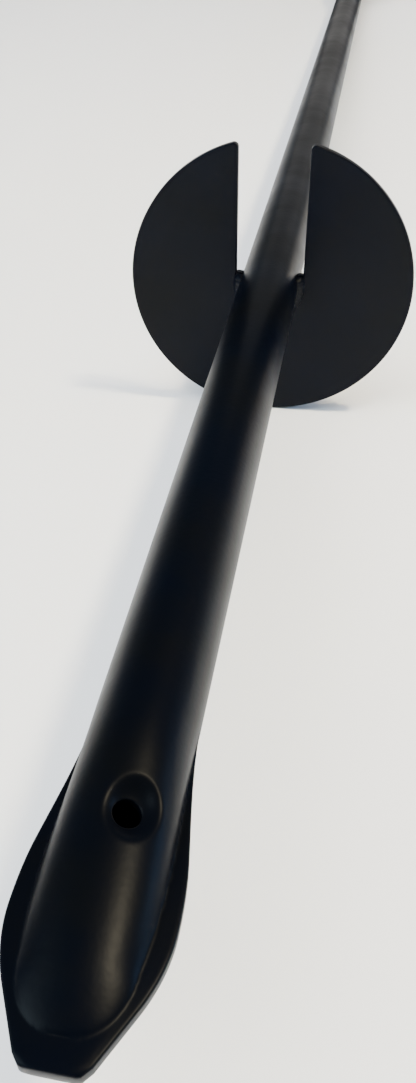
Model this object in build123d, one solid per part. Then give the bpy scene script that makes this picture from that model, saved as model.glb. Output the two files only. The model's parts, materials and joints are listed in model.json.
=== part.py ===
from build123d import *
import math
import os

os.makedirs("parts", exist_ok=True)

# A sand and shore anchor: a steel tube pressed to a spade at one end, a slotted
# disc welded round it, and a T-handle and a line shackle at the other end.
#
# Each piece is built in the shaft's own frame: Y runs along the shaft from the
# spade's end, Z points to the side that the disc's slot opens on, X is across.
# place() then lays the anchor down on the disc's rim and the two hand grips.

# ---- driving dimensions, millimetres ----------------------------------------

overall_length = 1219.0      # spade's end to the top of the shaft cap
tube_diameter = 25.4
tube_wall = 1.6

pressed_spread = 11.8        # how much wider than the tube its flat end is, before trimming
spade_end_width = 12.4
spade_taper = 28.0           # degrees between a trimmed edge and the shaft, at the end
spade_straight = 12.7        # length of each straight trimmed edge, along the shaft
spade_shoulder = 36.0        # radius of the trimmed edges' curved stretch
spade_flank = 2.5            # degrees between a trimmed edge and the shaft, past the curve
spade_corner = 1.6           # rounding of the two corners at the spade's end
pressed_station = 18.0       # the tube is pressed to its full width up to here
flare_station = 78.0         # the tube is round from here on
nose_station = 6.0           # where the raised tongue begins
nose_length = 13.0           # length of the tongue's rounded nose
nose_height = 0.6            # half height of the tongue's nose, inside the lips
nose_half_width = 2.0
lip_width = 7.0              # flat lip beside the tongue, before trimming
lip_edge = 0.5               # rounding of the lips' edges
fold_step = 0.3              # how far the folds end inside the round tube's sides

dimple_station = 47.5
dimple_angle = 20.0          # degrees round the shaft from Z towards X
dimple_sphere = 8.2          # radius of the round-nosed dent
dimple_depth = 3.0
dimple_lip = 1.0             # rounding where the dent meets the tube
tip_hole_diameter = 6.4

disc_diameter = 124.0
disc_thickness = 3.4
disc_station = 324.0         # spade's end to the middle of the disc
disc_edge = 0.5              # rounding of the disc's edges
slot_margin = 2.0            # slot's floor left beyond the tube, on each side
slot_floor = 3.0             # slot's floor above the shaft's axis
slot_corner = 2.0            # rounding where the slot leaves the rim

bar_diameter = 19.05
bar_wall = 1.6
bar_length = 246.0
bar_inset = 23.0             # tube's top end down to the bar's axis
grip_diameter = 29.0
grip_length = 92.0
grip_groove = 1.3            # radius of the rings cut in each grip
grip_groove_pitch = 8.0
grip_end_radius = 2.0        # rounding of each grip's ends

plug_head = 2.6              # thickness of the bar plugs' heads
plug_stem = 12.0
cap_head = 3.0               # thickness of the shaft cap's head
cap_stem = 8.0

eye_inset = 78.0             # bar's axis down to the eye's hole
eye_thickness = 6.0
eye_foot = 30.0              # length of the eye's foot along the shaft
eye_height = 15.0            # tube's surface up to the hole's centre
eye_rim = 7.0                # metal round the hole

pin_diameter = 8.0
pin_head_diameter = 13.0
pin_head = 2.5
pin_tab = 15.0               # width of the pin's thumb tab
pin_tab_thickness = 4.0
pin_tab_hole = 3.6
pin_overhang = 1.5           # pin's end beyond the threaded ear
shackle_wire = 7.0
shackle_jaw = 13.0           # clear width between the ears
shackle_leg = 24.0           # pin's axis to the start of the bow's crown
ear_diameter = 17.0

weld_leg = 3.2               # size of every weld bead

weld_gap = 0.05              # weld metal to the surfaces that it joins
fit_gap = 0.15               # fit-up round the tube before welding
push_gap = 0.05              # grips and plugs to the tubes that hold them
pin_gap = 0.05               # running clearance of the pin in the shackle's ears
eye_gap = 0.3                # clearance of the pin in the eye
rest_gap = 0.3               # lying shackle to the shaft

# ---- sizes that follow ---------------------------------------------------------

tube_radius = tube_diameter / 2
bore_radius = tube_radius - tube_wall
pressed_width = tube_diameter + pressed_spread
slot_width = tube_diameter + 2 * slot_margin
lip_height = tube_wall       # half of the two walls that lie flat together
disc_radius = disc_diameter / 2
bar_radius = bar_diameter / 2
grip_radius = grip_diameter / 2
tube_top = overall_length - cap_head
bar_station = tube_top - bar_inset
eye_station = bar_station - eye_inset
eye_center = tube_radius + eye_height
eye_hole_radius = pin_diameter / 2 + eye_gap
leg_offset = shackle_jaw / 2 + shackle_wire / 2
crown_reach = shackle_leg + leg_offset
shackle_drop = math.asin((eye_height - shackle_wire / 2 - rest_gap) / crown_reach)

# The anchor lies on the rim of its disc and on its grips, so the shaft leans.
rest_span = bar_station - disc_station - disc_thickness / 2
rest_reach = math.hypot(disc_radius, rest_span)
lean = math.acos(grip_radius / rest_reach) - math.atan2(rest_span, disc_radius)
lift = bar_station * math.sin(lean) + grip_radius
far_end = overall_length * math.cos(lean) + tube_radius * math.sin(lean)
near_end = -lip_height * math.sin(lean)
middle = (far_end + near_end) / 2


def place(piece):
    """Move a piece from the shaft's frame to the anchor's resting place."""
    return Pos(0, -middle, lift) * Rot(-math.degrees(lean), 0, 0) * piece


def rest_point(x, y, z):
    """A point of the shaft's frame, in the anchor's resting place."""
    turned_y = y * math.cos(lean) + z * math.sin(lean)
    turned_z = z * math.cos(lean) - y * math.sin(lean)
    return (x, turned_y - middle, turned_z + lift)


# ---- helpers ---------------------------------------------------------------------

def rod_along_shaft(radius, start, end):
    """A round bar on the shaft's axis, from one station to another."""
    return Pos(0, (start + end) / 2, 0) * Rot(90, 0, 0) * Cylinder(radius, end - start)


def rod_across(radius, length, station=0.0, height=0.0, x=0.0):
    """A round bar along X, centred at x."""
    return Pos(x, station, height) * Rot(0, 90, 0) * Cylinder(radius, length)


def smooth(share):
    """Rise from 0 to 1 with a level start and end."""
    share = min(max(share, 0.0), 1.0)
    return share * share * (3 - 2 * share)


# ---- shaft: one tube, its end pressed between dies to a spade -----------------------

def flare_share(station):
    """0 where the tube is pressed flat, 1 where it is round again."""
    return smooth((station - pressed_station) / (flare_station - pressed_station))


def half_width(station):
    return pressed_width / 2 + (tube_radius - pressed_width / 2) * flare_share(station)


def tongue_height(station):
    """Height of the raised tongue above the shaft's axis, on its middle line."""
    run = (station - nose_station) / (flare_station - nose_station)
    rise = math.sqrt(run)
    rise = rise + (1 - rise) * smooth((run - 0.5) / 0.5)
    return nose_height + (tube_radius - nose_height) * rise


def tongue_half_width(station):
    """Half the tongue's width: a round nose that opens to the whole tube."""
    run = station - nose_station
    nose = min(run / nose_length, 1.0)
    behind = max(run - nose_length, 0.0) / (flare_station - nose_station - nose_length)
    lip = lip_width * (1 - behind) ** 1.5
    full = half_width(station) - lip
    return nose_half_width + (full - nose_half_width) * math.sqrt(1 - (1 - nose) ** 2)


def tongue_section(station, wall=0.0):
    """The tongue's outline across the shaft, or its inside where a wall is given."""
    wide = tongue_half_width(station) - wall
    high = tongue_height(station) - wall
    return Pos(0, station, 0) * Rot(90, 0, 0) * Ellipse(wide, high)


def tongue_loft(start, wall=0.0):
    count = 12
    step = (flare_station - start) / count
    return loft([tongue_section(start + step * i, wall) for i in range(count + 1)])


def pressed_plan():
    """The pressed tube seen from above: its folded sides, run in to the round tube."""
    count = 6
    step = (flare_station - pressed_station) / count
    stations = [pressed_station + step * i for i in range(count + 1)]
    side = [(half_width(station) - fold_step, station) for station in stations]
    edges = [
        Line((0, 0), (side[0][0], 0)),
        Line((side[0][0], 0), side[0]),
        Spline(side, tangents=[(0, 1), (0, 1)]),
        Line(side[-1], (0, flare_station)),
        Line((0, flare_station), (0, 0)),
    ]
    right = make_face(edges)
    return right + mirror(right, about=Plane.YZ)


def spade_plan():
    """The spade's trimmed outline seen from above, out past the pressed tube's sides."""
    taper = math.radians(spade_taper)
    flank = math.radians(spade_flank)
    half = (taper + flank) / 2
    shoulder_x = spade_end_width / 2 + spade_straight * math.tan(taper)

    def on_curve(slope):
        x = shoulder_x + spade_shoulder * (math.cos(slope) - math.cos(taper))
        y = spade_straight + spade_shoulder * (math.sin(taper) - math.sin(slope))
        return (x, y)

    end = (spade_end_width / 2, 0)
    full = on_curve(flank)
    far_y = flare_station + tube_diameter
    far = (full[0] + (far_y - full[1]) * math.tan(flank), far_y)
    edges = [
        Line(end, on_curve(taper)),
        ThreePointArc(on_curve(taper), on_curve(half), full),
        Line(full, far),
        Line(far, (0, far_y)),
        Line((0, far_y), (0, 0)),
        Line((0, 0), end),
    ]
    right = make_face(edges)
    outline = right + mirror(right, about=Plane.YZ)
    corners = outline.vertices().filter_by(lambda v: v.Y < 0.01 and abs(v.X) > 1)
    return fillet(corners, spade_corner)


def tongue_reach(station, turn):
    """Distance from the shaft's axis to the tongue's skin, turned from Z towards X."""
    across = math.sin(turn) / tongue_half_width(station)
    upward = math.cos(turn) / tongue_height(station)
    return 1 / math.hypot(across, upward)


dimple_skin = tongue_reach(dimple_station, math.radians(dimple_angle))
dimple_floor = dimple_skin - dimple_depth
dimple_center = dimple_floor + dimple_sphere


def toward_dimple(distance):
    """A place on the dimple's own axis, looking straight out from the shaft."""
    turn = math.radians(dimple_angle)
    spot = Pos(distance * math.sin(turn), dimple_station, distance * math.cos(turn))
    return spot * Rot(0, dimple_angle, 0)


def make_shaft_tube():
    """The shaft: lips and raised tongue of the spade, the dented hole, the long tube."""
    lips = extrude(pressed_plan() & spade_plan(), amount=lip_height, both=True)
    lip_edges = [
        edge for edge in lips.edges()
        if abs(abs(edge.center().Z) - lip_height) < 0.01 and edge.center().Y < flare_station - 1
    ]
    skin = fillet(lip_edges, lip_edge) + tongue_loft(nose_station)

    dent_place = toward_dimple(dimple_center)
    skin = skin - dent_place * Sphere(dimple_sphere)
    rims = [
        edge for edge in skin.edges()
        if (edge.position_at(0.25) - dent_place.position).length < dimple_sphere + 0.1
        and (edge.position_at(0.75) - dent_place.position).length < dimple_sphere + 0.1
    ]
    skin = fillet(rims, dimple_lip)

    hollow = tongue_loft(nose_station + nose_length * 0.6, tube_wall)
    hollow = hollow - dent_place * Sphere(dimple_sphere + tube_wall)
    hole = toward_dimple(dimple_floor) * Cylinder(tip_hole_diameter / 2, 3 * tube_wall)
    pressed_end = skin - hollow - hole

    tube = rod_along_shaft(tube_radius, flare_station, tube_top)
    tube = tube - rod_along_shaft(bore_radius, flare_station, tube_top)
    tube = tube - rod_across(bar_radius + fit_gap, 2 * tube_diameter, bar_station)
    return pressed_end + tube


# ---- disc: flat plate with a slot out to its rim -------------------------------------

def make_anchor_disc():
    slot_height = disc_radius - slot_floor + 1
    plate = Circle(disc_radius) - Circle(tube_radius + fit_gap)
    plate = plate - Pos(0, slot_floor + slot_height / 2) * Rectangle(slot_width, slot_height)
    corners = [vertex for vertex in plate.vertices() if vertex.Y > disc_radius * 0.8]
    disc = extrude(fillet(corners, slot_corner), amount=disc_thickness / 2, both=True)
    rims = [edge for edge in disc.edges() if edge.length > disc_radius / 2]
    disc = fillet(rims, disc_edge)
    return Pos(0, disc_station, 0) * Rot(90, 0, 0) * disc


# ---- weld beads: quarter rounds laid in the corner between two pieces ------------------

def clear_of_shaft(bead):
    return bead - rod_along_shaft(tube_radius + weld_gap, flare_station, tube_top)


def make_disc_weld(side):
    """A bead on one face of the disc, from the slot's floor to below the tube.

    side is -1 on the spade's face of the disc and 1 on the other.
    """
    start = math.degrees(math.asin(slot_floor / tube_radius))
    finish = 90 - math.degrees(weld_leg / tube_radius)
    arc = CenterArc((0, 0, 0), tube_radius, 180 - start, start + finish)
    bead = sweep(Plane(arc @ 0, z_dir=arc % 0) * Circle(weld_leg), path=arc)
    bead = bead + Pos(*(arc @ 0)) * Sphere(weld_leg) + Pos(*(arc @ 1)) * Sphere(weld_leg)
    bead = Rot(90, 0, 0) * bead
    face = disc_station + side * disc_thickness / 2
    kept = Pos(0, face + side * (weld_gap + weld_leg), 0)
    kept = kept * Box(disc_diameter, 2 * weld_leg, disc_diameter)
    return clear_of_shaft((Pos(0, face, 0) * bead) & kept)


def make_corner_weld():
    """Weld metal that fills the step between the slot's floor and the tube."""
    step_x = -(slot_width / 2 + tube_radius) / 2 + weld_gap
    half_step = (slot_width / 2 - tube_radius) / 2 + weld_leg / 2
    bead = Pos(step_x, disc_station, slot_floor + weld_gap) * Rot(90, 0, 0)
    bead = bead * Cylinder(half_step, disc_thickness - 2 * disc_edge)
    floor_box = Pos(0, disc_station, slot_floor + weld_gap + tube_radius)
    bead = bead & floor_box * Box(slot_width - 2 * weld_gap, disc_diameter, tube_diameter)
    return clear_of_shaft(bead)


def make_bar_weld():
    """The saddle bead where the handle's bar leaves the shaft, on the -X side."""
    reach = 2 * tube_diameter
    around_shaft = rod_along_shaft(tube_radius + weld_leg, bar_station - reach, bar_station + reach)
    bead = rod_across(bar_radius + weld_leg, 2 * reach, bar_station) & around_shaft
    bead = bead & Pos(-reach, bar_station, 0) * Box(2 * reach, 2 * reach, 2 * reach)
    return clear_of_shaft(bead - rod_across(bar_radius + weld_gap, 2 * reach, bar_station))


def make_eye_weld():
    """The bead along the -X side of the eye's foot, with round ends."""
    x = -eye_thickness / 2 - weld_gap
    z = math.sqrt(tube_radius ** 2 - x ** 2)
    end = eye_foot / 2
    round_start = end - weld_leg
    diagonal = weld_leg * math.sqrt(0.5)
    side = Line((weld_leg, -round_start), (weld_leg, round_start))
    far_round = ThreePointArc(side @ 1, (diagonal, round_start + diagonal), (0, end))
    near_round = mirror(far_round, about=Plane.XZ)
    core = Line((0, end), (0, -end))
    bead = revolve(make_face([side, far_round, core, near_round]), axis=Axis.Y)
    bead = Pos(x, eye_station, z) * bead
    outside = Pos(x - weld_leg, eye_station, z) * Box(2 * weld_leg, 2 * eye_foot, 4 * weld_leg)
    return clear_of_shaft(bead & outside)


# ---- T-handle: a bar through the shaft, two grips, plugs and a cap ----------------------

def make_handle_bar():
    bar = rod_across(bar_radius, bar_length, bar_station)
    return bar - rod_across(bar_radius - bar_wall, bar_length, bar_station)


def make_grip():
    """A rubber sleeve with rounded ends and rings cut round it, on the -X side."""
    inner = bar_radius + push_gap
    sleeve = Cylinder(grip_radius, grip_length)
    ends = [edge for edge in sleeve.edges() if edge.geom_type == GeomType.CIRCLE]
    sleeve = fillet(ends, grip_end_radius) - Cylinder(inner, grip_length)
    count = int((grip_length - 2 * grip_groove_pitch) / grip_groove_pitch)
    for i in range(count + 1):
        along = (i - count / 2) * grip_groove_pitch
        sleeve = sleeve - Pos(0, 0, along) * Torus(grip_radius, grip_groove)
    x = (grip_length - bar_length) / 2
    return Pos(x, bar_station, 0) * Rot(0, 90, 0) * sleeve


def make_plug(head_radius, head, stem_radius, stem):
    """A push-in plug, its head's face at the tube's end and its stem down inside."""
    top = Cylinder(head_radius, head, align=(Align.CENTER, Align.CENTER, Align.MIN))
    crown = [edge for edge in top.edges() if edge.center().Z > head / 2]
    top = fillet(crown, head * 0.6)
    post = Cylinder(stem_radius, stem, align=(Align.CENTER, Align.CENTER, Align.MAX))
    return top + post


def make_bar_plug():
    stem_radius = bar_radius - bar_wall - push_gap
    plug = make_plug(grip_radius - grip_end_radius, plug_head, stem_radius, plug_stem)
    return Pos(-bar_length / 2, bar_station, 0) * Rot(0, -90, 0) * plug


def make_shaft_cap():
    cap = make_plug(tube_radius, cap_head, bore_radius - push_gap, cap_stem)
    return Pos(0, tube_top, 0) * Rot(-90, 0, 0) * cap


# ---- line eye and shackle ----------------------------------------------------------------

def make_line_eye():
    """A flat eye standing on the shaft, with a round head about its hole."""
    head_radius = eye_hole_radius + eye_rim
    head = Pos(0, eye_center) * Circle(head_radius)
    shoulder = eye_center * 0.72
    foot = Polygon(
        (-eye_foot / 2, 0),
        (eye_foot / 2, 0),
        (eye_foot / 2, tube_radius + eye_thickness / 2),
        (head_radius * 0.9, shoulder + head_radius * 0.45),
        (-head_radius * 0.9, shoulder + head_radius * 0.45),
        (-eye_foot / 2, tube_radius + eye_thickness / 2),
        align=None,
    )
    face = head + foot - Pos(0, eye_center) * Circle(eye_hole_radius)
    plate = extrude(face, amount=eye_thickness / 2, both=True)
    return clear_of_shaft(Pos(0, eye_station, 0) * Rot(0, 0, 90) * Rot(90, 0, 0) * plate)


def hang(piece):
    """Put a piece built about the pin's axis, bow down, where the shackle lies.

    The bow points along -Z as built. It is turned about X until it lies on the
    shaft, pointing to the spade.
    """
    turn = math.degrees(shackle_drop) - 90
    return Pos(0, eye_station, eye_center) * Rot(turn, 0, 0) * piece


def make_shackle_bow():
    x = leg_offset
    left = Line((-x, 0, 0), (-x, 0, -shackle_leg))
    crown = ThreePointArc((-x, 0, -shackle_leg), (0, 0, -crown_reach), (x, 0, -shackle_leg))
    right = Line((x, 0, -shackle_leg), (x, 0, 0))
    path = Wire([left, crown, right])
    bow = sweep(Plane(path @ 0, z_dir=path % 0) * Circle(shackle_wire / 2), path=path)
    for side in (-1, 1):
        ear = rod_across(ear_diameter / 2, shackle_wire, x=side * x)
        ear = fillet(ear.edges().filter_by(GeomType.CIRCLE), shackle_wire * 0.15)
        bow = bow + ear
    bow = bow - rod_across(pin_diameter / 2 + pin_gap, 4 * x)
    return hang(bow)


def make_shackle_pin():
    """The screw pin: a plain shank, a collar and a flat thumb tab with a hole."""
    outer = leg_offset + shackle_wire / 2
    head_x = outer + rest_gap
    end_x = -outer - pin_overhang
    shank = rod_across(pin_diameter / 2, head_x - end_x, x=(head_x + end_x) / 2)
    shank = chamfer(shank.edges().sort_by(Axis.X)[0], pin_diameter * 0.1)
    collar = rod_across(pin_head_diameter / 2, pin_head, x=head_x + pin_head / 2)
    tab_x = head_x + pin_head + pin_tab / 2 - pin_head * 0.5
    tab = Pos(tab_x, 0, 0) * Rot(90, 0, 0) * Cylinder(pin_tab / 2, pin_tab_thickness)
    hole = Pos(tab_x + pin_head * 0.5, 0, 0) * Rot(90, 0, 0)
    hole = hole * Cylinder(pin_tab_hole / 2, 2 * pin_tab_thickness)
    return hang(shank + collar + tab - hole)


# ---- all the pieces, laid down and written ---------------------------------------------------

pieces = {
    "shaft_tube": make_shaft_tube(),
    "anchor_disc": make_anchor_disc(),
    "handle_bar": make_handle_bar(),
    "shaft_cap": make_shaft_cap(),
    "line_eye": make_line_eye(),
    "shackle_bow": make_shackle_bow(),
    "shackle_pin": make_shackle_pin(),
}
left_pieces = {
    "disc_weld_spade": make_disc_weld(-1),
    "disc_weld_handle": make_disc_weld(1),
    "disc_weld_corner": make_corner_weld(),
    "bar_weld": make_bar_weld(),
    "eye_weld": make_eye_weld(),
    "grip": make_grip(),
    "bar_plug": make_bar_plug(),
}
for name, piece in left_pieces.items():
    pieces[f"{name}_left"] = piece
    pieces[f"{name}_right"] = mirror(piece, about=Plane.YZ)

for name, piece in pieces.items():
    export_step(place(piece), f"parts/{name}.step")
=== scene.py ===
# %% [markdown]
# # A shore anchor, finished in Blender
#
# The anchor is a steel tube, pressed to a spade at one end, with a slotted disc welded
# round it and a T-handle at the other end. Its pieces come from the design as fixed
# meshes. This lesson gives them their finishes, lays real weld beads along their joints
# and lights them. The design's pieces are loaded first, because every place that is used
# later is measured on them.

# %% Load the anchor's pieces
import json
import math

import bpy
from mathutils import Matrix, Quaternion, Vector, noise


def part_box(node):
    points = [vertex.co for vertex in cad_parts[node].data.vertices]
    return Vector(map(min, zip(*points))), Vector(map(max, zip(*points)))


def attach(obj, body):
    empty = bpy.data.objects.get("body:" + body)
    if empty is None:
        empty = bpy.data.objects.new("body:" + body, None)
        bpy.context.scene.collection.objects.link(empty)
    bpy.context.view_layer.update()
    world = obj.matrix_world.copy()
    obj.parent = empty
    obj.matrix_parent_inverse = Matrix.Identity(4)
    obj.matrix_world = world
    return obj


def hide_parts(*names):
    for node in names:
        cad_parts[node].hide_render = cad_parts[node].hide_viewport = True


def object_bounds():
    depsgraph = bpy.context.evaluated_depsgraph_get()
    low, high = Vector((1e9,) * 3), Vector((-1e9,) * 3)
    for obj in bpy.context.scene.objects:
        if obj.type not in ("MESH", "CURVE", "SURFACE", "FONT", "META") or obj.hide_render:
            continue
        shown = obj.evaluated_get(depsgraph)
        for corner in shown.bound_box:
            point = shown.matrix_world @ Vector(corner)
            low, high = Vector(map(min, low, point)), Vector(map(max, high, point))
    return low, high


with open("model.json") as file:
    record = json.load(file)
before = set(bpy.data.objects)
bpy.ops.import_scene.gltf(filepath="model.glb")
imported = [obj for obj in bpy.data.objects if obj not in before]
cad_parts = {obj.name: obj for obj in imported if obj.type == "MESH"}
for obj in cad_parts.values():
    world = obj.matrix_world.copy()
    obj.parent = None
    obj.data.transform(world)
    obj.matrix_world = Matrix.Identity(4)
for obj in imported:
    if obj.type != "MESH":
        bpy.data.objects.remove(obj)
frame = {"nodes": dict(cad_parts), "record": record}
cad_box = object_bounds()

nodes = frame["nodes"]
record = frame["record"]
print(len(nodes), "pieces, box", [tuple(round(c, 4) for c in corner) for corner in cad_box])

# %% [markdown]
# ## The shaft's own directions
#
# The anchor lies down, so its shaft leans a few degrees. Places on it are easier to say
# in the shaft's own directions: across it, along it from the spade's end, and above its
# axis. They could be written as fixed numbers, but then they would be wrong as soon as
# the design changed, so they are worked out from the plain stretch of tube that the
# record gives for a clip.

# %% Directions along the shaft
clip = next(mount for mount in record["mounts"] if mount["name"] == "shaft_clip_zone")
tube_radius = clip["dims"]["r_mm"] / 1000
along = Vector(clip["axis"]).normalized()
across = Vector((1, 0, 0))
above = across.cross(along)
clip_place = Vector(clip["pos_m"])
tube_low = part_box("shaft_tube")[0]
spade_end = clip_place - along * ((clip_place.y - tube_low.y) / along.y)


def on_shaft(x, station, height):
    """The point that lies x across, station along and height above the shaft's axis."""
    return spade_end + across * x + along * station + above * height


def shaft_places(node):
    """A node's points as across, along and above the shaft."""
    points = [vertex.co - spade_end for vertex in nodes[node].data.vertices]
    return [(point.dot(across), point.dot(along), point.dot(above)) for point in points]


disc_places = shaft_places("anchor_disc")
disc_near_face = min(place[1] for place in disc_places)
disc_far_face = max(place[1] for place in disc_places)
disc_faces = (round(disc_near_face, 4), round(disc_far_face, 4))
print("disc faces at", disc_faces, "m from the spade's end")

# %% [markdown]
# ## The camera
#
# The anchor is looked at from just past its spade, from above, with the shaft running
# away. A wide lens close to the spade makes the spade large and the disc small. The
# camera is placed in the shaft's directions and aimed at a point near the axis, and then
# rolled a little, because a camera held by hand is seldom level.

# %% Camera
CAMERA_PLACE = (0.0377, -0.0537, 0.1685)   # across, along and above the spade's end
AIM_PLACE = (-0.0047, 0.1463, 0.0)
ROLL = math.radians(2.6)
SENSOR = 36.0                              # millimetres, along the picture's long side
LENS = 29.9                                # millimetres
SHIFT = (0.0227, -0.0055)                  # shares of the picture's long side

camera_data = bpy.data.cameras.new("camera")
camera_data.sensor_fit = "VERTICAL"
camera_data.sensor_height = SENSOR
camera_data.lens = LENS
camera_data.shift_x, camera_data.shift_y = SHIFT
camera_data.clip_start = 0.01
camera = bpy.data.objects.new("camera", camera_data)
bpy.context.scene.collection.objects.link(camera)
camera.location = on_shaft(*CAMERA_PLACE)
aim = on_shaft(*AIM_PLACE) - camera.location
camera.rotation_mode = "QUATERNION"
camera.rotation_quaternion = aim.to_track_quat("-Z", "Y") @ Quaternion((0, 0, 1), -ROLL)
bpy.context.scene.camera = camera
print("camera at", tuple(round(c, 4) for c in camera.location))

# %% [markdown]
# ## Writing a finish as maths
#
# A finish is a network of nodes. It could be wired by hand, but sums such as
# "dark where the noise is low" are easier to read as sums. So one small class holds a
# socket and gives it the usual signs, and one method adds any other node.

# %% A finish and its values


class Signal:
    """A value that changes over the surface, with the signs of ordinary maths."""

    def __init__(self, finish, socket):
        self.finish = finish
        self.socket = socket

    def maths(self, operation, *values, clamp=False):
        return self.finish.add("Math", values, operation=operation, use_clamp=clamp)

    def __add__(self, other):
        return self.maths("ADD", self, other)

    def __sub__(self, other):
        return self.maths("SUBTRACT", self, other)

    def __mul__(self, other):
        return self.maths("MULTIPLY", self, other)

    def __radd__(self, other):
        return self.maths("ADD", other, self)

    def __rsub__(self, other):
        return self.maths("SUBTRACT", other, self)

    def ramp(self, low, high):
        """0 below low, 1 above high and straight between."""
        return self.maths("DIVIDE", self - low, high - low, clamp=True)


class Finish:
    """One material, and the nodes that make it."""

    def __init__(self, name, **fixed):
        self.material = bpy.data.materials.new(name)
        self.material.use_nodes = True
        self.tree = self.material.node_tree
        shaders = (node for node in self.tree.nodes if node.type == "BSDF_PRINCIPLED")
        self.shader = next(shaders)
        for socket, value in fixed.items():
            self.shader.inputs[socket.replace("_", " ")].default_value = value
        places = self.tree.nodes.new("ShaderNodeTexCoord")
        self.object_place = Signal(self, places.outputs["Object"])

    def add(self, kind, inputs, output=0, **settings):
        """A node; inputs is a list in the order of its sockets, or a dict by name."""
        node = self.tree.nodes.new("ShaderNode" + kind)
        for name, value in settings.items():
            setattr(node, name, value)
        pairs = inputs.items() if isinstance(inputs, dict) else enumerate(inputs)
        for key, value in pairs:
            self.connect(node.inputs[key], value)
        return Signal(self, node.outputs[output])

    def connect(self, socket, value):
        if isinstance(value, Signal):
            self.tree.links.new(value.socket, socket)
        else:
            socket.default_value = value

    def noise(self, size, detail=2.0, roughness=0.5):
        """Soft random patches, about size metres across, from 0 to 1."""
        inputs = {
            "Vector": self.object_place,
            "Scale": 1 / size,
            "Detail": detail,
            "Roughness": roughness,
        }
        return self.add("TexNoise", inputs)

    def tint(self, share, first, second):
        """A colour between two, by a share from 0 to 1."""
        inputs = {0: share, 6: first, 7: second}
        return self.add("Mix", inputs, output=2, data_type="RGBA")

    def edge(self, radius, low, high):
        """1 on the sharp edges of the piece, fading out within radius."""
        rounded = self.add("Bevel", {"Radius": radius}, samples=6)
        flat = Signal(self, self.tree.nodes.new("ShaderNodeNewGeometry").outputs["Normal"])
        likeness = self.add(
            "VectorMath", [rounded, flat], output=1, operation="DOT_PRODUCT"
        )
        return (1 - likeness).ramp(low, high)

    def bump(self, height, strength, distance, normal=None):
        inputs = {"Strength": strength, "Distance": distance, "Height": height}
        if normal is not None:
            inputs["Normal"] = normal
        return self.add("Bump", inputs)

    def finish(self, **sockets):
        for socket, value in sockets.items():
            self.connect(self.shader.inputs[socket.replace("_", " ")], value)
        return self.material


print("finishes are written with Signal and Finish")

# %% [markdown]
# ## Black powder coat
#
# The anchor is coated in a satin black powder with a trace of navy in it. The
# powder melts to a skin with a fine orange peel, runs a little thin on edges, and picks
# up hazy patches from handling. One way is a flat black with low roughness, but that
# looks like plastic. So the colour drifts between two near blacks, the roughness drifts
# with it, and two sizes of noise make the peel. A Bevel node rounds the creases where the
# powder has flowed together.

# %% The powder coat
PEEL_SIZE = 0.0016
BROAD_PEEL_SIZE = 0.007
HAZE_SIZE = 0.035
SPECKLE_SIZE = 0.0008
WEAR_SIZE = 0.006
NAVY_BLACK = (0.0016, 0.0030, 0.0085, 1)
GREY_BLACK = (0.0030, 0.0036, 0.0052, 1)
WORN_GREY = (0.05, 0.05, 0.052, 1)
GLOSS_ROUGHNESS = 0.30
HAZE_ROUGHNESS = 0.42
EDGE_WEAR_REACH = 0.0007
BUMP_DEPTH = 0.0002


def black_powder(name, crease, peel_strength):
    coat = Finish(name, Specular_IOR_Level=0.15, IOR=1.36)
    haze = coat.noise(HAZE_SIZE, detail=4.0, roughness=0.6)
    speckle = coat.noise(SPECKLE_SIZE, detail=2.0)
    wear = coat.noise(WEAR_SIZE, detail=3.0).ramp(0.42, 0.62)
    worn = coat.edge(EDGE_WEAR_REACH, 0.03, 0.28) * wear
    colour = coat.tint(haze.ramp(0.35, 0.7), NAVY_BLACK, GREY_BLACK)
    colour = coat.tint(worn * 0.75, colour, WORN_GREY)
    peel = coat.noise(PEEL_SIZE, detail=1.0) + coat.noise(BROAD_PEEL_SIZE, detail=1.0) * 0.6
    soft = coat.add("Bevel", {"Radius": crease}, samples=8)
    hazy = haze.ramp(0.3, 0.75) * (HAZE_ROUGHNESS - GLOSS_ROUGHNESS)
    rough = GLOSS_ROUGHNESS + hazy + speckle * 0.03 + worn * 0.2
    return coat.finish(
        Base_Color=colour,
        Roughness=rough,
        Normal=coat.bump(peel, peel_strength, BUMP_DEPTH, soft),
    )


black_coat = black_powder("black_coat", crease=0.0008, peel_strength=0.12)
weld_coat = black_powder("weld_coat", crease=0.0003, peel_strength=0.3)
print("powder coat made")

# %% [markdown]
# ## Galvanised steel
#
# The shackle and its pin are dipped in zinc. Zinc sets in flat crystals, so patches of it
# shine differently, and it dulls to a chalky grey in the hollows while wear polishes the
# edges. A Voronoi pattern gives each crystal its own grey and roughness.

# %% Zinc
CRYSTAL_SIZE = 0.0035
CHALK_SIZE = 0.009
ZINC_GRAIN_SIZE = 0.0011
ZINC_DARK = (0.36, 0.37, 0.385, 1)
ZINC_PALE = (0.56, 0.57, 0.58, 1)
ZINC_CHALK = (0.50, 0.50, 0.49, 1)
ZINC_POLISHED = (0.72, 0.72, 0.72, 1)


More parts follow.
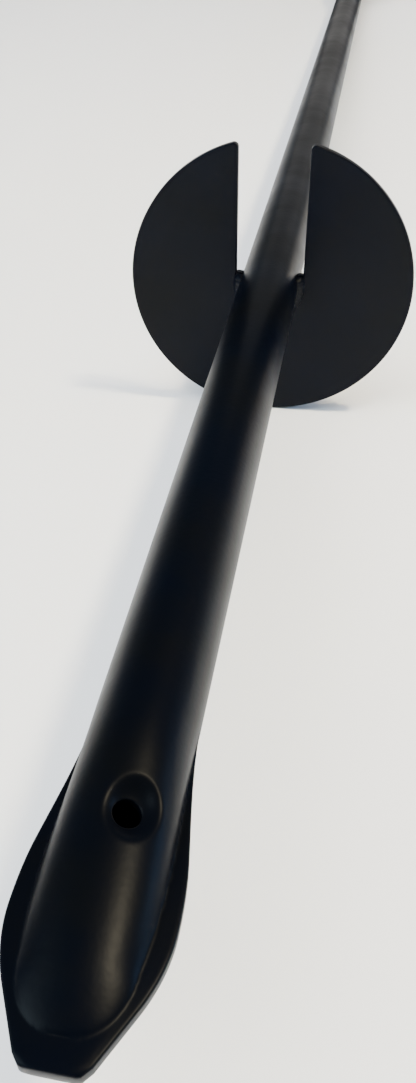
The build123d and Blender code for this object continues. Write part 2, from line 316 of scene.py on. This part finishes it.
def dipped_zinc():
    zinc = Finish("galvanised_steel", Metallic=1.0)
    inputs = {"Vector": zinc.object_place, "Scale": 1 / CRYSTAL_SIZE, "Randomness": 0.9}
    crystal = zinc.add("TexVoronoi", inputs, output="Color", feature="F1")
    grey = zinc.add("SeparateColor", [crystal], output=0)
    chalk = zinc.noise(CHALK_SIZE, detail=5.0, roughness=0.65).ramp(0.45, 0.7)
    worn = zinc.edge(0.0006, 0.03, 0.25)
    colour = zinc.tint(grey, ZINC_DARK, ZINC_PALE)
    colour = zinc.tint(chalk * 0.5, colour, ZINC_CHALK)
    colour = zinc.tint(worn * 0.6, colour, ZINC_POLISHED)
    rough = 0.34 + grey * 0.16 + chalk * 0.2 - worn * 0.12
    grain = zinc.noise(ZINC_GRAIN_SIZE, detail=3.0) + grey * 0.4
    return zinc.finish(
        Base_Color=colour,
        Roughness=rough,
        Normal=zinc.bump(grain, 0.25, BUMP_DEPTH),
    )


galvanised_steel = dipped_zinc()
print("zinc made")

# %% [markdown]
# ## Rubber and plastic
#
# The grips are moulded rubber: a fine matt grain, paler where hands rub the ridges and
# dusty in the grooves. The plugs and the cap are satin plastic with a faint spark-eroded
# texture. Both are near black, so their difference is in roughness and grain.

# %% Rubber grips and plastic plugs
RUBBED_GREY = (0.06, 0.06, 0.058, 1)


def moulded(name, dark, pale, rough, grain_size, grain_strength):
    skin = Finish(name, Specular_IOR_Level=0.4)
    patch = skin.noise(0.02, detail=4.0, roughness=0.6)
    grain = skin.noise(grain_size, detail=2.0)
    rubbed = skin.edge(0.0009, 0.02, 0.3) * skin.noise(0.012, detail=3.0).ramp(0.3, 0.65)
    colour = skin.tint(patch.ramp(0.35, 0.7), dark, pale)
    colour = skin.tint(rubbed * 0.5, colour, RUBBED_GREY)
    roughness = rough + patch * 0.12 - rubbed * 0.1
    return skin.finish(
        Base_Color=colour,
        Roughness=roughness,
        Normal=skin.bump(grain, grain_strength, BUMP_DEPTH),
    )


grip_rubber = moulded(
    "grip_rubber",
    dark=(0.012, 0.012, 0.013, 1),
    pale=(0.024, 0.024, 0.024, 1),
    rough=0.62,
    grain_size=0.0007,
    grain_strength=0.6,
)
plug_plastic = moulded(
    "plug_plastic",
    dark=(0.011, 0.011, 0.012, 1),
    pale=(0.018, 0.018, 0.018, 1),
    rough=0.38,
    grain_size=0.0009,
    grain_strength=0.25,
)
print("rubber and plastic made")

# %% [markdown]
# ## Dress the design's pieces
#
# The design's meshes keep their shapes. Each takes the finish of the slot that the
# record gives it.

# %% Give each piece its finish
finishes = {
    "black_coat": black_coat,
    "weld_coat": weld_coat,
    "galvanised_steel": galvanised_steel,
    "grip_rubber": grip_rubber,
    "plug_plastic": plug_plastic,
}
for part in record["subparts"]:
    mesh = nodes[part["node"]].data
    mesh.materials.clear()
    mesh.materials.append(finishes[part["material_slot"]])
print("dressed", len(record["subparts"]), "pieces")

# %% [markdown]
# ## The pressed shaft
#
# The real shaft is one tube. Its end was squeezed between two dies, which closed the
# walls into flat lips and left a raised tongue between them, and then the lips were
# trimmed to a spade. A round punch dented the tongue, and a hole was drilled in the
# dent. Sculpting this by hand would lose the exact sizes. So a rod with many cross cuts
# is added, and each of its points is moved to where the dies would have put it: a
# section is the higher of the tongue's curve and the lips' flat, blended as pressed
# steel blends. A second, smaller rod becomes the bore. The sizes are those of the dies.

# %% The dies' sizes, in metres
PRESSED_HALF_WIDTH = 0.0186      # tube pressed flat, before it is trimmed
PRESSED_STATION = 0.018          # pressed to its full width up to here
FLARE_STATION = 0.078            # round from here on
LIP_HALF_THICKNESS = 0.0016
NOSE_STATION = 0.006             # where the tongue begins
NOSE_LENGTH = 0.013
NOSE_HEIGHT = 0.0006
NOSE_HALF_WIDTH = 0.002
LIP_WIDTH = 0.0070
SPADE_END_HALF_WIDTH = 0.0062
SPADE_TAPER = math.radians(28)
SPADE_STRAIGHT = 0.0127
SPADE_SHOULDER = 0.036
SPADE_FLANK = math.radians(2.5)
CORNER_ROUND = 0.0016
EDGE_ROUND = 0.0005
FOLD_BLEND = 0.0030              # how softly the tongue flows into the lips
TUBE_WALL = 0.0016
DENT_STATION = 0.0475
DENT_TURN = math.radians(20)     # from above towards the right
DENT_SPHERE = 0.0082
DENT_DEPTH = 0.003
DENT_BLEND = 0.0016              # how softly the dent's rim is rounded
TRIM_BLEND = 0.0015              # how softly the trimmed edge meets the folded one


def level_rise(share):
    """Rise from 0 to 1 with a level start and end."""
    share = min(max(share, 0.0), 1.0)
    return share * share * (3 - 2 * share)


def blend_higher(first, second, softness):
    """The higher of two, with a rounded crossing."""
    overlap = max(softness - abs(first - second), 0.0)
    return max(first, second) + overlap * overlap / (4 * max(softness, 1e-9))


def rounded_away(distance, radius):
    """How far a rounded edge has drawn back at a distance from the end."""
    if distance >= radius:
        return 0.0
    return radius - math.sqrt(radius ** 2 - (radius - distance) ** 2)


def flare_share(station):
    return level_rise((station - PRESSED_STATION) / (FLARE_STATION - PRESSED_STATION))


def folded_half_width(station):
    return PRESSED_HALF_WIDTH + (tube_radius - PRESSED_HALF_WIDTH) * flare_share(station)


def trimmed_half_width(station):
    """The spade's outline: a straight taper, a round shoulder and a straight flank."""
    shoulder_x = SPADE_END_HALF_WIDTH + SPADE_STRAIGHT * math.tan(SPADE_TAPER)
    if station <= SPADE_STRAIGHT:
        return SPADE_END_HALF_WIDTH + station * math.tan(SPADE_TAPER)
    slope_sine = math.sin(SPADE_TAPER) - (station - SPADE_STRAIGHT) / SPADE_SHOULDER
    slope = math.asin(max(slope_sine, math.sin(SPADE_FLANK)))
    x = shoulder_x + SPADE_SHOULDER * (math.cos(slope) - math.cos(SPADE_TAPER))
    turned = math.sin(SPADE_TAPER) - math.sin(SPADE_FLANK)
    shoulder_end = SPADE_STRAIGHT + SPADE_SHOULDER * turned
    return x + max(station - shoulder_end, 0.0) * math.tan(SPADE_FLANK)


def outline_half_width(station):
    folded = folded_half_width(station)
    edge = -blend_higher(-folded, -trimmed_half_width(station), TRIM_BLEND)
    return edge - rounded_away(station, CORNER_ROUND)


def tongue_height(station):
    run = max(station - NOSE_STATION, 0.0) / (FLARE_STATION - NOSE_STATION)
    rise = math.sqrt(min(run, 1.0))
    rise = rise + (1 - rise) * level_rise((run - 0.5) / 0.5)
    return NOSE_HEIGHT + (tube_radius - NOSE_HEIGHT) * rise


def tongue_half_width(station):
    run = max(station - NOSE_STATION, 0.0)
    nose = min(run / NOSE_LENGTH, 1.0)
    rest = FLARE_STATION - NOSE_STATION - NOSE_LENGTH
    behind = min(max(run - NOSE_LENGTH, 0.0) / rest, 1.0)
    full = folded_half_width(station) - LIP_WIDTH * (1 - behind) ** 1.5
    return NOSE_HALF_WIDTH + (full - NOSE_HALF_WIDTH) * math.sqrt(1 - (1 - nose) ** 2)


def outer_height(x, station):
    """Height of the pressed tube's skin at x across."""
    flat = 1 - flare_share(station)
    wide = outline_half_width(station)
    lip_full = LIP_HALF_THICKNESS - rounded_away(station, EDGE_ROUND)
    share = min(abs(x) / wide, 1.0)
    lip = lip_full * flat * (1 - share ** 12) ** (1 / 12)
    tongue_wide = min(tongue_half_width(station), wide)
    tongue_share = min(abs(x) / tongue_wide, 1.0)
    tongue = tongue_height(station) * math.sqrt(1 - tongue_share ** 2)
    if station <= NOSE_STATION:
        tongue = 0.0
    return blend_higher(lip, tongue, FOLD_BLEND * flat * (1 - share ** 8))


dent_skin = 1 / math.hypot(
    math.sin(DENT_TURN) / tongue_half_width(DENT_STATION),
    math.cos(DENT_TURN) / tongue_height(DENT_STATION),
)
dent_floor = dent_skin - DENT_DEPTH
dent_axis = (math.sin(DENT_TURN), 0.0, math.cos(DENT_TURN))


def dented(x, station, height, wall):
    """Push a point of the skin down to the round punch, or the bore's point below it."""
    reach = x * dent_axis[0] + height * dent_axis[2]
    side = x * dent_axis[2] - height * dent_axis[0]
    spread = math.hypot(side, station - DENT_STATION)
    sphere = DENT_SPHERE + wall
    if reach <= 0 or spread >= sphere:
        return x, height
    punch = dent_floor + DENT_SPHERE - math.sqrt(sphere ** 2 - spread ** 2)
    pushed = -blend_higher(-reach, -punch, DENT_BLEND)
    shift = pushed - reach
    return x + shift * dent_axis[0], height + shift * dent_axis[2]


print("tongue at the dent is", round(dent_skin, 5), "m from the axis")

# %% A sheet rolled into a rod


def deselect_all():
    bpy.ops.object.select_all(action="DESELECT")


def start_editing(piece, kind):
    """Edit one piece, with nothing in it selected."""
    deselect_all()
    piece.select_set(True)
    bpy.context.view_layer.objects.active = piece
    bpy.ops.object.mode_set(mode="EDIT")
    bpy.ops.mesh.select_mode(type=kind)
    bpy.ops.mesh.select_all(action="DESELECT")


def roll_sheet(name, sides, rings):
    """A sheet of even squares, rolled round Z into a rod, with its two ends closed."""
    deselect_all()
    bpy.ops.mesh.primitive_grid_add(x_subdivisions=sides, y_subdivisions=rings, size=1)
    rod = bpy.context.object
    rod.name = name
    rod.data.name = name
    for vertex in rod.data.vertices:
        turn = 2 * math.pi * (vertex.co.x + 0.5)
        vertex.co = (math.cos(turn), math.sin(turn), vertex.co.y + 0.5)
    start_editing(rod, "EDGE")
    bpy.ops.mesh.select_all(action="SELECT")
    bpy.ops.mesh.remove_doubles(threshold=1e-5)
    bpy.ops.mesh.select_all(action="DESELECT")
    bpy.ops.mesh.select_non_manifold()
    bpy.ops.mesh.fill_holes(sides=0)
    bpy.ops.object.mode_set(mode="OBJECT")
    return rod


def face_outwards(piece):
    start_editing(piece, "FACE")
    bpy.ops.mesh.select_all(action="SELECT")
    bpy.ops.mesh.normals_make_consistent(inside=False)
    bpy.ops.object.mode_set(mode="OBJECT")


# %% Press the rods
SHAFT_SIDES = 176
SKIN_RINGS = 176
BORE_RINGS = 80
tube_top = max(place[1] for place in shaft_places("shaft_tube"))
DENSE_END = 0.084                # rings are close together up to here
SPADE_SHARE = 0.9                # share of the rings that lie on the spade
EDGE_RINGS = 4                   # rings that round the spade's end edge
BORE_START = NOSE_STATION + 0.6 * NOSE_LENGTH


def ring_station(share, start):
    """Close rings on the spade, wide ones on the plain tube."""
    if share <= SPADE_SHARE:
        return start + (DENSE_END - start) * share / SPADE_SHARE
    return DENSE_END + (tube_top - DENSE_END) * (share - SPADE_SHARE) / (1 - SPADE_SHARE)


def press_skin(rings):
    skin = roll_sheet("shaft", SHAFT_SIDES, rings)
    for vertex in skin.data.vertices:
        turn = math.atan2(vertex.co.y, vertex.co.x)
        ring = vertex.co.z * rings
        station = ring_station(vertex.co.z, 0.0)
        if ring < EDGE_RINGS - 0.5:
            station = EDGE_ROUND * (ring / EDGE_RINGS) ** 1.5
        wide = outline_half_width(station) - rounded_away(station, EDGE_ROUND)
        x = wide * math.cos(turn)
        height = math.copysign(outer_height(x, station), math.sin(turn))
        if station >= FLARE_STATION:
            height = tube_radius * math.sin(turn)
        if abs(math.sin(turn)) < 1e-4:
            height = 0.0
        x, height = dented(x, station, height, 0.0)
        vertex.co = on_shaft(x, station, height)
    return skin


def press_bore(rings):
    bore = roll_sheet("shaft_bore", SHAFT_SIDES, rings)
    for vertex in bore.data.vertices:
        turn = math.atan2(vertex.co.y, vertex.co.x)
        station = ring_station(vertex.co.z, BORE_START)
        wide = min(tongue_half_width(station), outline_half_width(station)) - TUBE_WALL
        high = tongue_height(station) - TUBE_WALL
        if station >= FLARE_STATION:
            wide = high = tube_radius - TUBE_WALL
        x, height = dented(wide * math.cos(turn), station, high * math.sin(turn), TUBE_WALL)
        vertex.co = on_shaft(x, station, height)
    return bore


shaft = press_skin(SKIN_RINGS)
bore = press_bore(BORE_RINGS)
print("skin", len(shaft.data.polygons), "faces, bore", len(bore.data.polygons))

# %% [markdown]
# The bore is turned inside out and joined to the skin, and the two are bridged at the
# tube's open top. Then the small hole in the dent and the two holes for the handle's
# bar are cut with drills, as the real ones are.

# %% Join, bridge and drill
TOP_MARGIN = 0.0001              # a face this near the tube's top is the top
FIT_GAP = 0.00015                # between the bar and its hole


def open_top(piece):
    """Take off the face that closes the piece at the tube's top."""
    start_editing(piece, "FACE")
    bpy.ops.object.mode_set(mode="OBJECT")
    for face in piece.data.polygons:
        corners = [piece.data.vertices[index].co for index in face.vertices]
        stations = [(corner - spade_end).dot(along) for corner in corners]
        face.select = min(stations) > tube_top - TOP_MARGIN
    bpy.ops.object.mode_set(mode="EDIT")
    bpy.ops.mesh.delete(type="ONLY_FACE")
    bpy.ops.object.mode_set(mode="OBJECT")


def drill(piece, radius, depth, place, toward):
    """Cut a round hole through piece, in a direction, and remove the drill."""
    deselect_all()
    bpy.ops.mesh.primitive_cylinder_add(vertices=64, radius=radius, depth=depth)
    bit = bpy.context.object
    bit.rotation_mode = "QUATERNION"
    bit.rotation_quaternion = toward.to_track_quat("Z", "Y")
    bit.location = place
    cut = piece.modifiers.new("drill", "BOOLEAN")
    cut.operation = "DIFFERENCE"
    cut.solver = "MANIFOLD"
    cut.object = bit
    deselect_all()
    piece.select_set(True)
    bpy.context.view_layer.objects.active = piece
    bpy.ops.object.modifier_apply(modifier=cut.name)
    bpy.data.objects.remove(bit)


for piece in (shaft, bore):
    face_outwards(piece)
    open_top(piece)
bore.data.flip_normals()
deselect_all()
bore.select_set(True)
shaft.select_set(True)
bpy.context.view_layer.objects.active = shaft
bpy.ops.object.join()
start_editing(shaft, "EDGE")
bpy.ops.mesh.select_non_manifold()
bpy.ops.mesh.bridge_edge_loops()
bpy.ops.object.mode_set(mode="OBJECT")

bar_low, bar_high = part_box("handle_bar")
bar_radius = (bar_high.z - bar_low.z) / 2
bar_station = ((bar_low + bar_high) / 2 - spade_end).dot(along)
tip_hole = next(mount for mount in record["mounts"] if mount["name"] == "tip_hole")
tip_radius = tip_hole["dims"]["r_mm"] / 1000
tip_place = Vector(tip_hole["pos_m"])
drill(shaft, tip_radius, 3 * TUBE_WALL, tip_place, Vector(tip_hole["axis"]))
drill(shaft, bar_radius + FIT_GAP, 4 * tube_radius, on_shaft(0, bar_station, 0), across)
bpy.ops.object.shade_smooth_by_angle(angle=math.radians(38))
shaft.data.materials.clear()
shaft.data.materials.append(black_coat)
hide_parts("shaft_tube")
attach(shaft, "anchor")
print("shaft has", len(shaft.data.polygons), "faces")

# %% [markdown]
# ## Weld beads
#
# A weld bead is a row of small puddles that each froze behind the last, so its face has
# crescent ripples, its width wanders and its ends are round. A bevelled curve would be
# too even. Here a rod is added with cross cuts along it, and then its points are moved:
# half of its roundness becomes the bead's rippled face, and the rest folds into the
# corner between the two pieces. The same rod serves every joint: only the rule that
# says where the corner runs is different.

# %% One bead
RIPPLE = 0.0019          # distance from one puddle to the next
RIPPLE_DEPTH = 0.16      # share of the bead's size
WANDER = 0.14            # share by which the bead's size wanders
WANDER_LENGTH = 0.006
LUMP = 0.05              # share by which its face is lumpy
LUMP_LENGTH = 0.0015
CRESCENT = 0.45          # how far a ripple bows ahead, in puddles
END_SIZE = 0.25          # share of the bead's size left at its very ends
ROUND_SIDES = 16
PUDDLE_RINGS = 5
SEAT = 0.00005           # the bead's distance from the metal that it joins


def bead_outline(turn):
    """Shares of the bead's size out and up from the corner, for a turn round the rod."""
    quarter = math.pi / 2
    if turn <= 2 * quarter:
        bulge = (math.cos(turn / 2), math.sin(turn / 2))
        flat = (1 - turn / (2 * quarter), turn / (2 * quarter))
        return tuple(0.7 * b + 0.3 * f for b, f in zip(bulge, flat))
    if turn <= 3 * quarter:
        return (0.0, 3 - turn / quarter)
    return (turn / quarter - 3, 0.0)


def lay_bead(name, node, size, length, corner, seed):
    """A bead along a joint of the anchor, in place of a plain node.

    corner(share, out, up) gives the point out and up from the corner at a share of the
    bead's length.
    """
    puddle_count = max(3, round(length / RIPPLE))
    rod = roll_sheet(name, ROUND_SIDES, puddle_count * PUDDLE_RINGS)
    cap_length = size * 0.8 / length
    for vertex in rod.data.vertices:
        share = vertex.co.z
        turn = math.atan2(vertex.co.y, vertex.co.x) % (2 * math.pi)
        out, up = bead_outline(turn)
        middle = math.sin(turn / 2) if turn < math.pi else 0.0
        phase = share * puddle_count + CRESCENT * middle
        ripple = 1 - RIPPLE_DEPTH * (phase % 1.0) ** 1.6 * middle
        travel = share * length
        wander = 1 + WANDER * noise.noise(Vector((travel / WANDER_LENGTH, seed, 0.0)))
        lump = 1 + LUMP * noise.noise(Vector((travel / LUMP_LENGTH, turn * 1.5, seed)))
        from_cap = max(0.0, 1 - min(share, 1 - share) / cap_length)
        cap = math.sqrt(max(0.0, 1 - from_cap ** 2))
        taper = cap * (1 - END_SIZE) + END_SIZE
        reach = size * ripple * wander * lump * taper
        vertex.co = corner(share, out * reach + SEAT, up * reach + SEAT)
    face_outwards(rod)
    bpy.ops.object.shade_smooth_by_angle(angle=math.radians(50))
    rod.data.materials.clear()
    rod.data.materials.append(weld_coat)
    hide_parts(node)
    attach(rod, "anchor")
    print(name, "has", puddle_count, "puddles and", len(rod.data.polygons), "faces")


# %% [markdown]
# ## The beads round the disc
#
# The disc is welded to the tube on both its faces, from the floor of its slot, down the
# side and round under the tube, where the left bead meets the right one. The upper end of
# each bead is measured on the plain node that it stands for.

# %% Beads on both faces of the disc
BEAD_SIZE = 0.0030
SIDES = (("left", -1), ("right", 1))


def disc_bead(side_name, side, face_name, face, outward):
    node = f"disc_weld_{face_name}_{side_name}"
    turns = [math.atan2(height, abs(x)) for x, _, height in shaft_places(node)]
    start = max(turns) - 0.5 * BEAD_SIZE / tube_radius
    finish = -math.pi / 2 + 0.5 * BEAD_SIZE / tube_radius

    def corner(share, out, up):
        turn = start + (finish - start) * share
        radius = tube_radius + out
        x = side * radius * math.cos(turn)
        return on_shaft(x, face + outward * up, radius * math.sin(turn))

    length = (start - finish) * (tube_radius + BEAD_SIZE / 2)
    name = f"{face_name}_bead_{side_name}"
    lay_bead(name, node, BEAD_SIZE, length, corner, 3.7 * side + outward)


for side_name, side in SIDES:
    disc_bead(side_name, side, "spade", disc_near_face, -1)
    disc_bead(side_name, side, "handle", disc_far_face, 1)

# %% [markdown]
# ## The beads at the handle
#
# Where the handle's bar leaves the tube, the joint is a saddle: a circle round the bar
# that dips with the tube's side. The bead goes all the way round, so its rule works out
# the tube's side at every turn.

# %% Saddle beads round the bar
HANDLE_BEAD_SIZE = 0.0029


def bar_bead(side_name, side):
    def corner(share, out, up):
        turn = 2 * math.pi * share
        radius = bar_radius + out
        height = radius * math.sin(turn)
        tube_side = math.sqrt(tube_radius ** 2 - min(height, tube_radius) ** 2)
        station = bar_station + radius * math.cos(turn)
        return on_shaft(side * (tube_side + up), station, height)

    length = 2 * math.pi * (bar_radius + BEAD_SIZE / 2)
    name = f"bar_bead_{side_name}"
    lay_bead(name, f"bar_weld_{side_name}", HANDLE_BEAD_SIZE, length, corner, 11.3 * side)


for side_name, side in SIDES:
    bar_bead(side_name, side)

# %% [markdown]
# ## The beads at the line eye
#
# The eye stands on the tube like a fin, with a straight bead along each side of its foot.

# %% Straight beads beside the eye


def eye_bead(side_name, side):
    node = f"eye_weld_{side_name}"
    places = shaft_places(node)
    first = min(place[1] for place in places)
    last = max(place[1] for place in places)
    fin_side = min(abs(place[0]) for place in places)

    def corner(share, out, up):
        x = fin_side + out
        surface = math.sqrt(tube_radius ** 2 - x ** 2)
        return on_shaft(side * x, first + (last - first) * share, surface + up)

    name = f"eye_bead_{side_name}"
    lay_bead(name, node, HANDLE_BEAD_SIZE, last - first, corner, 23.9 * side)


for side_name, side in SIDES:
    eye_bead(side_name, side)

# %% [markdown]
# ## The floor and the light
#
# A pale floor and soft studio light show the coat best, as a black satin thing is seen by
# what it reflects. A small warm panel stands high on the right and draws the streak on the
# spade's tongue. A broad cool one on the left and a dim blue one low on the right tint the
# blacks. Two dim panels far past the handle light the shaft where it runs away. So little
# light would leave the floor grey. A brighter room would lift the blacks too, so the sixth
# lamp lights the floor alone.

# %% Floor
FLOOR_SIZE = 12.0
deselect_all()
bpy.ops.mesh.primitive_plane_add(size=FLOOR_SIZE, location=(0, 0, cad_box[0].z))
floor = bpy.context.object
floor.name = "floor"
paper = Finish("floor_paper", Specular_IOR_Level=0.1)
paper_mottle = paper.noise(0.4, detail=2.0)
floor.data.materials.append(paper.finish(
    Base_Color=paper.tint(paper_mottle, (0.86, 0.86, 0.86, 1), (0.88, 0.88, 0.88, 1)),
    Roughness=0.9,
))

# %% Lamps


def soft_panel(name, toward, distance, size, power, colour):
    """A round lamp in a direction from the spade, facing it."""
    data = bpy.data.lights.new(name, "AREA")
    data.shape = "DISK"
    data.size = size
    data.energy = power
    data.color = colour
    lamp = bpy.data.objects.new(name, data)
    bpy.context.scene.collection.objects.link(lamp)
    target = on_shaft(0, 0.05, 0)
    direction = (across * toward[0] + along * toward[1] + above * toward[2]).normalized()
    lamp.location = target + direction * distance
    lamp.rotation_mode = "QUATERNION"
    lamp.rotation_quaternion = (-direction).to_track_quat("-Z", "Y")
    return lamp


soft_panel("warm_panel", (0.42, 0.10, 0.90), 1.5, 0.22, 20, (1.0, 0.88, 0.62))
soft_panel("cool_panel", (-0.72, -0.38, 0.58), 2.0, 1.4, 26, (0.70, 0.90, 1.0))
soft_panel("blue_panel", (0.91, 0.29, 0.26), 2.0, 0.7, 9, (0.30, 0.55, 1.0))
far_panel = soft_panel("far_panel", (0.02, 1.0, 0.17), 3.2, 1.5, 3.0, (1.0, 0.92, 0.82))
edge_panel = soft_panel("edge_panel", (0.46, 0.90, 0.02), 3.0, 0.8, 3.5, (1.0, 0.80, 0.58))
for panel, height in ((far_panel, 0.7), (edge_panel, 0.35)):   # these two are oblong
    panel.data.shape = "RECTANGLE"
    panel.data.size_y = height
floor_panel = soft_panel("floor_panel", (-0.2, -0.2, 1.0), 3.0, 3.0, 190, (1.0, 1.0, 1.0))
floor_only = bpy.data.collections.new("floor_only")
floor_only.objects.link(floor)
floor_panel.light_linking.receiver_collection = floor_only
world = bpy.data.worlds.new("studio")
world.use_nodes = True
sky = world.node_tree.nodes["Background"]
sky.inputs["Color"].default_value = (0.72, 0.86, 1.0, 1)
sky.inputs["Strength"].default_value = 0.20
bpy.context.scene.world = world
print(len(bpy.data.lights), "lamps and a dim room")
